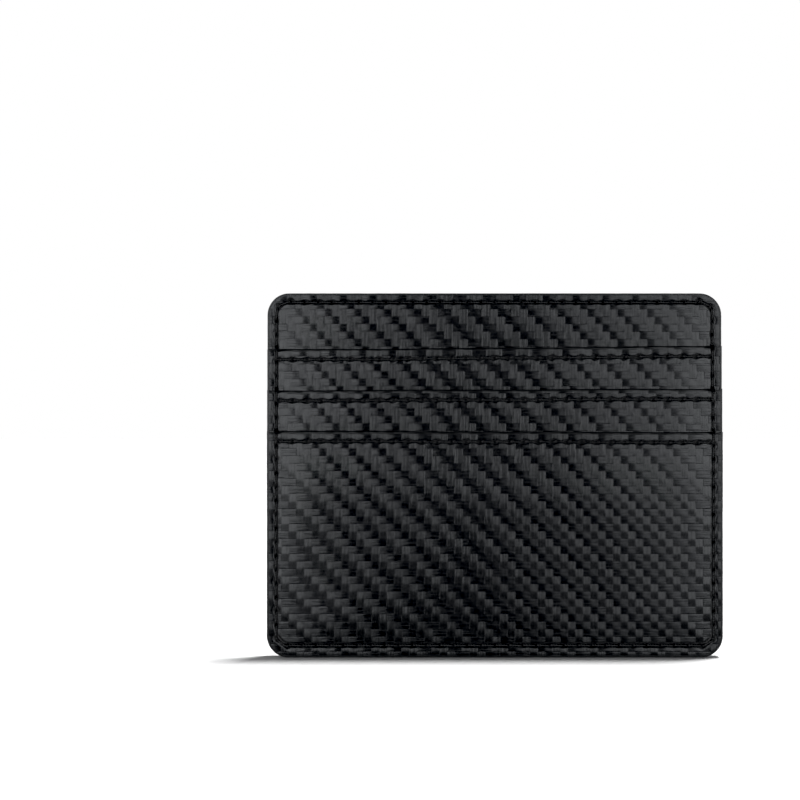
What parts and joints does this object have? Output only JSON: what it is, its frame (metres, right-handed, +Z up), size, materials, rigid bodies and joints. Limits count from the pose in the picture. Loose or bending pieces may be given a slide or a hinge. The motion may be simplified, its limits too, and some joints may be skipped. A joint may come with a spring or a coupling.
{
  "type": "card wallet",
  "caption": "Flat card wallet in carbon-weave leather with stepped card pockets on the front, a plain back and an open-topped note compartment between them.",
  "frame": {"origin": "middle of the bottom edge, half way through the thickness", "axes": "+X to the right across the front, +Z up towards the pocket mouths, -Y out of the front face; the plain back faces +Y"},
  "size_m": [0.1, 0.005, 0.08],
  "materials": {
    "carbon_leather": "embossed carbon-weave synthetic leather, satin",
    "lining": "black woven polyester lining",
    "shield_film": "metallised film",
    "seam_tape": "black bonding tape",
    "edge_coat": "glossy black edge paint",
    "thread": "waxed black polyester thread"
  },
  "bodies": {
    "root": {"back_panel": "carbon_leather", "back_shield_film": "shield_film", "back_lining": "lining", "compartment_seam_tape": "seam_tape", "front_lining": "lining", "front_shield_film": "shield_film", "base_panel": "carbon_leather", "left_edge_coat": "edge_coat", "right_edge_coat": "edge_coat", "bottom_edge_coat": "edge_coat", "back_top_edge_coat": "edge_coat", "front_top_edge_coat": "edge_coat", "front_seam_stitches": "thread", "back_seam_stitches": "thread", "front_top_stitches": "thread", "back_top_stitches": "thread", "pocket_1_seam_tape": "seam_tape", "pocket_1_lining": "lining", "pocket_1_panel": "carbon_leather", "pocket_1_edge_coat": "edge_coat", "pocket_1_hem_stitches": "thread", "pocket_1_stop_stitches": "thread", "pocket_2_seam_tape": "seam_tape", "pocket_2_lining": "lining", "pocket_2_panel": "carbon_leather", "pocket_2_edge_coat": "edge_coat", "pocket_2_hem_stitches": "thread", "pocket_2_stop_stitches": "thread", "pocket_3_seam_tape": "seam_tape", "pocket_3_lining": "lining", "pocket_3_panel": "carbon_leather", "pocket_3_edge_coat": "edge_coat", "pocket_3_hem_stitches": "thread"}
  },
  "joints": []
}
